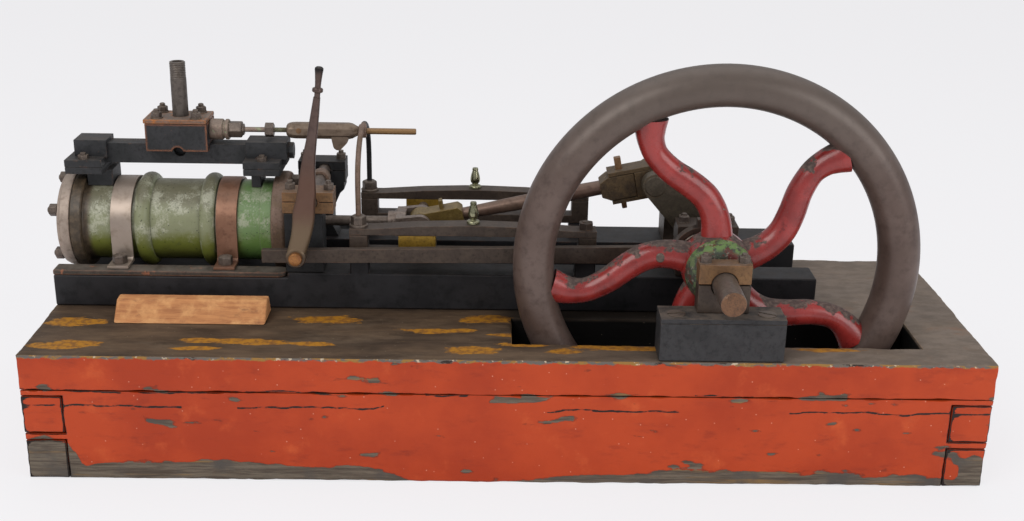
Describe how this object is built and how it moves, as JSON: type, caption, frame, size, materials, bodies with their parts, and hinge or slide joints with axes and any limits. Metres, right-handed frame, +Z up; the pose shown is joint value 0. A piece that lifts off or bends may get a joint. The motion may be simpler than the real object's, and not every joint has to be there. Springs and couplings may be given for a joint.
{
  "type": "model steam engine",
  "caption": "Horizontal single-cylinder model steam engine on a box base, with slide bars, an open flywheel with curved spokes, and valve gear worked through a hand lever.",
  "frame": {"origin": "centre of the bounding box, on the underside of the base", "axes": "+X along the base from the cylinder to the crank, +Y from the flywheel side to the back, +Z up"},
  "size_m": [0.8494, 0.292, 0.3627],
  "materials": {
    "orange_paint": "worn orange-red paint on wood",
    "dark_wood": "dark worn varnish on wood",
    "bare_wood": "dusty bare wood",
    "black_paint": "worn black paint",
    "bed_paint": "worn black paint on wood",
    "brown_iron": "brown patinated iron, smooth from handling",
    "steel": "dull turned steel",
    "green_paint": "mottled green paint with grey wear",
    "red_paint": "glossy red paint, chipped",
    "brass": "tarnished brass"
  },
  "bodies": {
    "base": {"base_top_plank": "dark_wood", "base_front_board": "orange_paint", "base_back_board": "orange_paint", "base_left_board": "orange_paint", "base_right_board": "orange_paint", "loose_wood_wedge": "bare_wood", "engine_bed": "bed_paint", "near_sole_plate": "brown_iron", "cylinder_barrel": "green_paint", "rear_cylinder_cover": "brown_iron", "front_cylinder_cover": "brown_iron", "piston_rod_gland": "brass", "rear_cylinder_band": "brown_iron", "front_cylinder_band": "brown_iron", "rear_port_neck": "black_paint", "front_port_neck": "black_paint", "steam_passage_beam": "black_paint", "valve_chest": "black_paint", "valve_chest_cover": "brass", "steam_pipe": "steel", "valve_stuffing_box": "brass", "near_rocker_pedestal": "black_paint", "near_rocker_bearing": "brass", "far_rocker_pedestal": "black_paint", "near_upper_slide_bar": "brown_iron", "near_lower_slide_bar": "brown_iron", "far_upper_slide_bar": "brown_iron", "far_lower_slide_bar": "brown_iron", "near_oil_cup": "brass", "far_oil_cup": "brass", "valve_guide_hoop": "brown_iron", "front_bearing_block": "black_paint", "front_bearing_housing": "brown_iron", "front_bearing_cap": "brass", "near_main_bearing_housing": "brown_iron", "near_main_bearing_cap": "brass", "far_main_bearing": "brown_iron"},
    "crankshaft": {"crankshaft_near_half": "steel", "crankshaft_far_half": "steel", "flywheel": "red_paint", "eccentric_sheave": "brown_iron"},
    "eccentric_rod": {"eccentric_strap_and_rod": "brown_iron"},
    "crosshead": {"piston": "steel", "piston_rod": "steel", "crosshead": "brown_iron", "gudgeon_pin": "steel", "near_crosshead_slipper": "brass", "far_crosshead_slipper": "brass"},
    "connecting_rod": {"connecting_rod": "brown_iron", "big_end_strap": "brown_iron", "big_end_brasses": "brass", "crank_pin": "steel"},
    "rocker": {"hand_lever": "brown_iron", "lever_pin": "brass", "rocker_shaft": "steel", "rocker_arm": "brown_iron"},
    "valve_gear": {"slide_valve": "brass", "valve_rod": "steel", "valve_link": "brown_iron"}
  },
  "joints": [
    {"name": "crank_spin", "type": "hinge", "parent": "base", "child": "crankshaft", "pos_m": [0.18615, 0.061, 0.183], "axis": [0, 1, 0], "continuous": true},
    {"name": "eccentric_rod_pivot", "type": "hinge", "parent": "crankshaft", "child": "eccentric_rod", "pos_m": [0.17778, -0.0155, 0.18152], "axis": [0, 1, 0], "continuous": true},
    {"name": "crosshead_slide", "type": "slide", "parent": "base", "child": "crosshead", "axis": [1, 0, 0], "range_m": [-0.02422, 0.10778]},
    {"name": "gudgeon_pivot", "type": "hinge", "parent": "crosshead", "child": "connecting_rod", "pos_m": [-0.08063, 0.061, 0.183], "axis": [0, 1, 0], "range_deg": [-5.09, 29.03]},
    {"name": "hand_lever_rock", "type": "hinge", "parent": "base", "child": "rocker", "pos_m": [-0.17685, 0.009, 0.221], "axis": [0, 1, 0], "range_deg": [-22.14, 0.3]},
    {"name": "valve_slide", "type": "slide", "parent": "base", "child": "valve_gear", "axis": [1, 0, 0], "range_m": [-0.0161, 0.0003]}
  ],
  "couplings": [
    {"joint": "eccentric_rod_pivot", "follows": "crank_spin", "ratio": -1},
    {"joint": "valve_slide", "follows": "hand_lever_rock", "m_per_rad": 0.0414}
  ]
}
